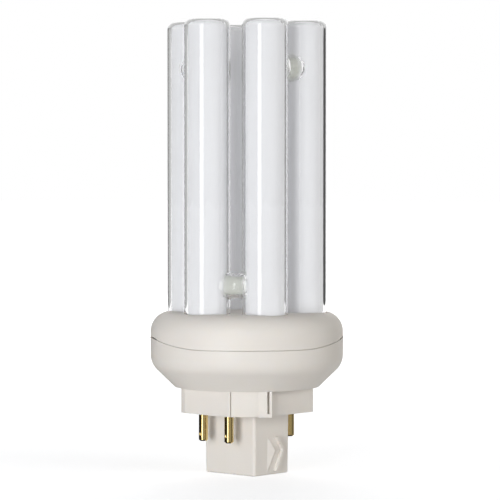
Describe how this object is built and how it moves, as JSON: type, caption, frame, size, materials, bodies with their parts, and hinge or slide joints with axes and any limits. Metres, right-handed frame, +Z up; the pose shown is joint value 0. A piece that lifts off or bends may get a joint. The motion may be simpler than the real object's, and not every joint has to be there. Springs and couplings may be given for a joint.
{
  "type": "plug-in fluorescent lamp",
  "caption": "Compact plug-in fluorescent lamp: upright white glass limbs joined by fused necks, on a round plastic collar with a keyed skirt, a square post and brass contact pins.",
  "frame": {"origin": "centre of the foot of the post, which the lamp stands on", "axes": "+Z up along the limbs; the contact pins stand beside the -Y and +Y faces of the post, and the -X and +X faces carry the latch chevrons"},
  "size_m": [0.05, 0.0498, 0.117],
  "materials": {
    "coated_glass": "clear glass with a white coat inside, glossy",
    "housing_plastic": "warm off-white moulded plastic, satin with a fine texture",
    "cement": "dull set cement",
    "pin_brass": "bright turned brass",
    "lead_metal": "drawn nickel-plated wire"
  },
  "bodies": {
    "root": {"discharge_tube": "coated_glass", "tube_holder_cap": "housing_plastic", "base_shell": "housing_plastic", "tube_cement": "cement", "contact_pin_1": "pin_brass", "contact_pin_2": "pin_brass", "contact_pin_3": "pin_brass", "contact_pin_4": "pin_brass", "lead_wire_1": "lead_metal", "lead_wire_2": "lead_metal", "lead_wire_3": "lead_metal", "lead_wire_4": "lead_metal"}
  },
  "joints": []
}
